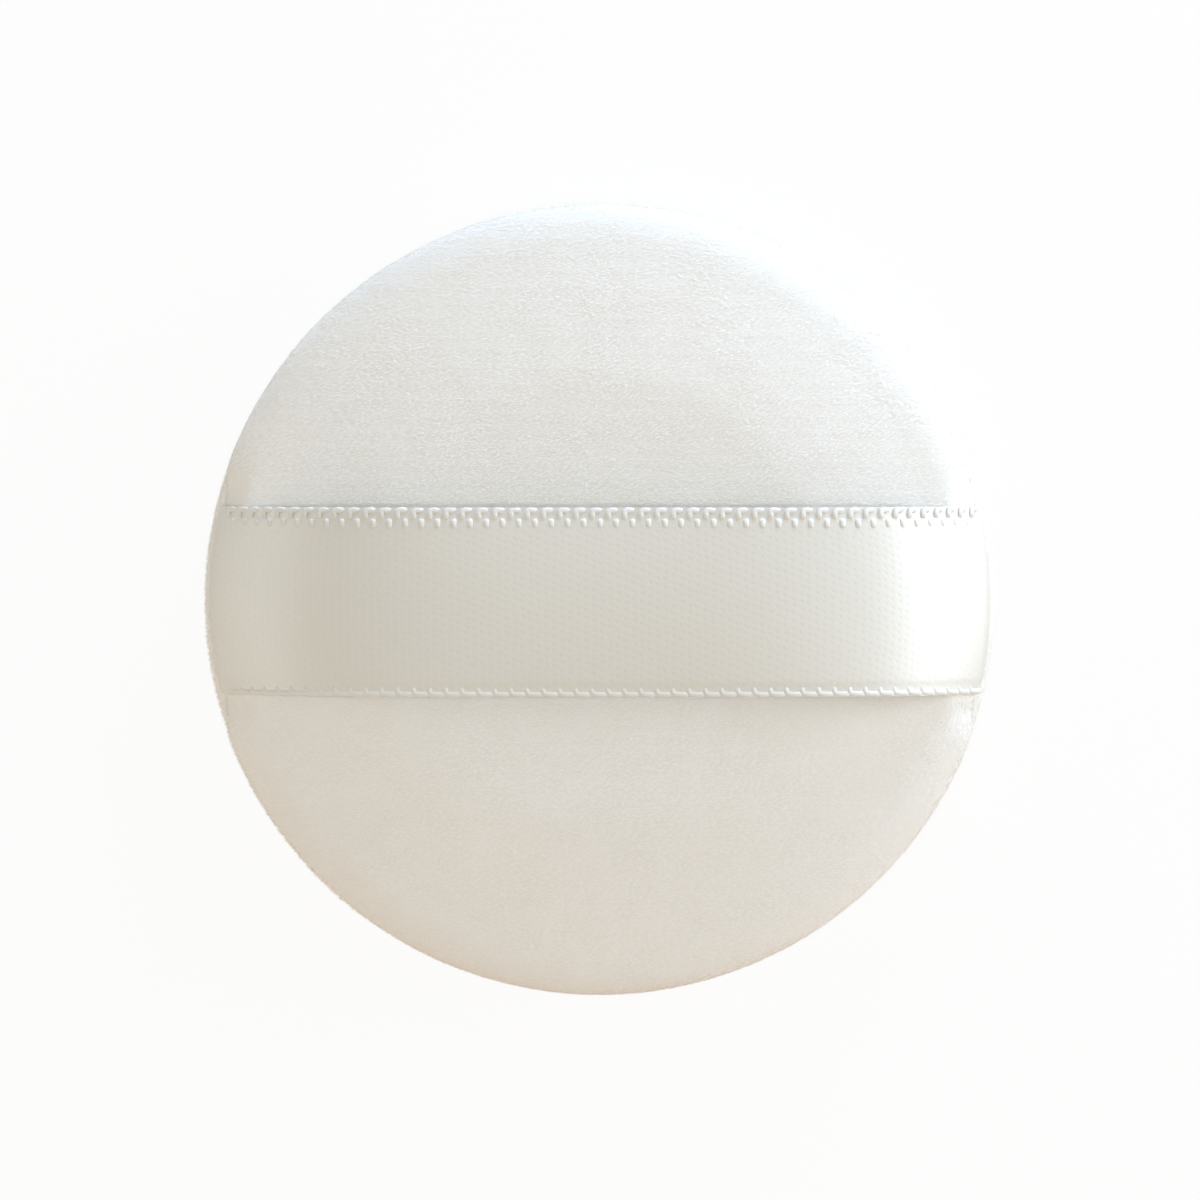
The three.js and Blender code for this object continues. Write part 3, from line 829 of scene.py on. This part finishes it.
def selvedge_tree():
    """Repeats a loop along a line, whose upright is kept in an attribute."""
    tree, given = new_tree("looped_selvedge", Pitch="Float", Loop="Object", Yarn="Material")
    curve = add_node(tree, "GeometryNodeMeshToCurve", {"Mesh": given["Geometry"]})
    steps = add_node(
        tree, "GeometryNodeResampleCurve",
        {"Curve": curve.outputs[0], "Length": given["Pitch"]}, mode="LENGTH",
    )
    tangent = add_node(tree, "GeometryNodeInputTangent")
    upright = add_node(
        tree, "GeometryNodeInputNamedAttribute", {"Name": "upright"}, data_type="FLOAT_VECTOR",
    )
    turn = add_node(
        tree, "FunctionNodeAxesToRotation",
        {"Primary Axis": tangent.outputs[0], "Secondary Axis": upright.outputs["Attribute"]},
        primary_axis="X", secondary_axis="Z",
    )
    loop = add_node(tree, "GeometryNodeObjectInfo", {"Object": given["Loop"]})
    placed = add_node(
        tree, "GeometryNodeInstanceOnPoints",
        {"Points": steps.outputs[0], "Instance": loop.outputs["Geometry"], "Rotation": turn.outputs[0]},
    )
    finish_tree(tree, placed.outputs[0], given["Yarn"])
    return tree


def selvedge(name, side, edge, tree, yarn):
    """The loops along one edge of a ribbon half. They run the same way on both halves."""
    loops = math.floor((ARCH_LENGTH - LOOP_PITCH) / LOOP_PITCH)
    places = np.arange(LINE_PARTS * loops + 1) * (LOOP_PITCH / LINE_PARTS) + LOOP_PITCH / 2
    places = places[::side]
    across = edge * (RIBBON_WIDTH / 2 - LOOP_YARN_RADIUS)
    points = np.array([ribbon_point(side, place, across, RIBBON_THICKNESS / 2) for place in places])
    below = np.array([ribbon_point(side, place, across, 0) for place in places])
    mesh = bpy.data.meshes.new("selvedge_line")
    mesh.from_pydata(points.tolist(), [(i, i + 1) for i in range(len(points) - 1)], [])
    upright = (points - below) / (RIBBON_THICKNESS / 2)
    mesh.attributes.new("upright", "FLOAT_VECTOR", "POINT").data.foreach_set("vector", upright.ravel())
    share, bar_sunk, cap_sunk = BACK_LOOP if edge > 0 else FRONT_LOOP
    loop = selvedge_loop(edge, share * LOOP_PITCH, bar_sunk, cap_sunk)
    made = run_nodes(add_piece("selvedge_line", mesh), tree, Pitch=LOOP_PITCH, Loop=loop, Yarn=yarn)
    bpy.data.objects.remove(loop)
    return add_piece(name, made)


def bend_with_ribbon(piece):
    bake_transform(piece)


def make_ribbon():
    satin = satin_weave()
    yarn = fine_yarn("selvedge_yarn", SELVEDGE_DARK, SELVEDGE_LIGHT, roughness=0.75)
    tree = selvedge_tree()
    for end, side in (("right", 1), ("left", -1)):
        half = ribbon_half(f"ribbon_{end}_half", side, satin)
        bend_with_ribbon(half)
        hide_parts(f"ribbon_{end}_tail", f"ribbon_{end}_leg", "ribbon_bridge")
        for word, edge in (("back", 1), ("front", -1)):
            loops = selvedge(f"ribbon_{end}_{word}_selvedge", side, edge, tree, yarn)
            bend_with_ribbon(loops)


# The filling and the threads
def make_foam():
    """A cut disc of foam with softened edges and a cellular skin."""
    low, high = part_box("foam_core")
    edge = (high.z - low.z) / 4
    turn = np.linspace(0, math.pi / 2, FOAM_EDGE_POINTS)
    upper = np.stack([high.x - edge + edge * np.sin(turn), high.z - edge + edge * np.cos(turn)], axis=1)
    lower = np.stack([upper[::-1, 0], low.z + high.z - upper[::-1, 1]], axis=1)
    section = spaced(np.concatenate([[[0, high.z]], upper, lower, [[0, low.z]]]), 2 * COVER_STEP)
    foam = add_piece("foam_disc", smooth_mesh("foam_disc", *turned(section)))
    cells = bpy.data.textures.new("foam_cells", "VORONOI")
    cells.noise_scale = FOAM_PIT
    pitted = foam.modifiers.new("cells", "DISPLACE")
    pitted.texture = cells
    pitted.texture_coords = "LOCAL"
    pitted.strength = -FOAM_PIT_DEPTH
    pitted.mid_level = 0
    foam = add_piece("foam_disc", evaluated_mesh(foam))
    foam.data.materials.append(open_cell_foam())
    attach(foam, "pad")
    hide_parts("foam_core")


def dress_threads():
    thread = fine_yarn("sewing_thread", THREAD_DARK, THREAD_LIGHT, roughness=0.65)
    for name, node in frame["nodes"].items():
        if name.endswith("_thread"):
            node.data.materials.clear()
            node.data.materials.append(thread)


# The stage
def make_camera():
    data = bpy.data.cameras.new("camera")
    data.lens = LENS_MM
    shown = 2 * RIM_RADIUS * PHOTO_SIDE_PX / PUFF_WIDTH_PX
    distance = shown * data.lens / data.sensor_width
    target = Vector((0, 0, SEAM_HEIGHT + EDGE_ROLL_HEIGHT))
    camera = bpy.data.objects.new("camera", data)
    camera.location = target + distance * Vector((0, -math.sin(CAMERA_TILT), math.cos(CAMERA_TILT)))
    camera.rotation_euler = (CAMERA_TILT, 0, 0)
    bpy.context.scene.collection.objects.link(camera)
    bpy.context.scene.camera = camera


def seen_directly(tree):
    """1 for what the camera, a reflection or a clear surface shows, and 0 for light on the object."""
    path = add_node(tree, "ShaderNodeLightPath").outputs
    seen = number_step(tree, "MAXIMUM", path["Is Camera Ray"], path["Is Glossy Ray"])
    return number_step(tree, "MAXIMUM", seen, path["Is Transmission Ray"])


def mixed(tree, share, first, second):
    """Two shaders mixed: the first where the share is 0, and the second where it is 1."""
    return add_node(tree, "ShaderNodeMixShader", {0: share, 1: first.outputs[0], 2: second.outputs[0]})


def make_world():
    """A room that is warm in front and cool and dim behind, and white where it shows."""
    world = bpy.data.worlds.new("room")
    world.use_nodes = True
    tree = world.node_tree
    tree.nodes.clear()
    way = add_node(tree, "ShaderNodeTexCoord").outputs["Generated"]
    facing = vector_step(tree, "DOT_PRODUCT", way, SKY_WAY)
    share = add_node(
        tree, "ShaderNodeMapRange", {"Value": facing, "From Min": -1.0, "From Max": 1.0},
    ).outputs[0]
    sky = add_node(tree, "ShaderNodeBackground", {"Color": (*SKY_LIGHT, 1), "Strength": SKY_STRENGTH})
    room = add_node(tree, "ShaderNodeBackground", {"Color": (*WARM_LIGHT, 1), "Strength": ROOM_STRENGTH})
    white = add_node(tree, "ShaderNodeBackground", {"Color": (1, 1, 1, 1), "Strength": 1.0})
    light = mixed(tree, share, room, sky)
    shown = mixed(tree, seen_directly(tree), light, white)
    add_node(tree, "ShaderNodeOutputWorld", {"Surface": shown.outputs[0]})
    bpy.context.scene.world = world


def make_floor():
    """A floor that shows white with a little shade, and lights the puff from below as a table would."""
    material = bpy.data.materials.new("white_floor")
    material.use_nodes = True
    tree = material.node_tree
    tree.nodes.clear()
    paper = add_node(tree, "ShaderNodeBsdfDiffuse", {"Color": FLOOR_COLOUR})
    white = add_node(tree, "ShaderNodeEmission", {"Color": (1, 1, 1, 1), "Strength": 1.0})
    shaded = mixed(tree, FLOOR_SHADE, white, paper)
    place = add_node(tree, "ShaderNodeTexCoord").outputs["Object"]
    backwards = add_node(tree, "ShaderNodeSeparateXYZ", {"Vector": place}).outputs["Y"]
    share = add_node(
        tree, "ShaderNodeMapRange", {"Value": backwards, "From Min": -RIM_RADIUS, "From Max": RIM_RADIUS},
    ).outputs[0]
    shades = two_shades(tree, share, TABLE_FRONT, TABLE_BACK)
    table = add_node(tree, "ShaderNodeBsdfDiffuse", {"Color": shades.outputs["Color"]})
    shown = mixed(tree, seen_directly(tree), table, shaded)
    add_node(tree, "ShaderNodeOutputMaterial", {"Surface": shown.outputs[0]})
    half = FLOOR_SIZE / 2
    corners = [(-half, -half, 0), (half, -half, 0), (half, half, 0), (-half, half, 0)]
    mesh = bpy.data.meshes.new("floor")
    mesh.from_pydata(corners, [], [(0, 1, 2, 3)])
    mesh.materials.append(material)
    add_piece("floor", mesh)


def add_lamp(name, place, size, power, colour, shines=True):
    """A round soft box turned to the puff. One that doesn't shine makes no highlights."""
    data = bpy.data.lights.new(name, "AREA")
    data.shape = "DISK"
    data.size = size
    data.energy = power
    data.color = colour
    lamp = bpy.data.objects.new(name, data)
    lamp.visible_glossy = shines
    lamp.location = place
    lamp.rotation_euler = (-place).to_track_quat("-Z", "Y").to_euler()
    bpy.context.scene.collection.objects.link(lamp)


make_camera()
make_world()
make_floor()
add_lamp("window", WINDOW_PLACE, WINDOW_SIZE, WINDOW_POWER, DAYLIGHT)
add_lamp("back_window", BACK_PLACE, BACK_SIZE, BACK_POWER, BACK_LIGHT)
add_lamp("ceiling", CEILING_PLACE, CEILING_SIZE, CEILING_POWER, CEILING_LIGHT, shines=False)
add_lamp("fill", FILL_PLACE, FILL_SIZE, FILL_POWER, FILL_LIGHT)
add_lamp("front_table", FRONT_PLACE, FRONT_SIZE, FRONT_POWER, FRONT_LIGHT, shines=False)
make_covers()
make_ribbon()
make_foam()
dress_threads()
bpy.context.scene.view_settings.view_transform = "Standard"
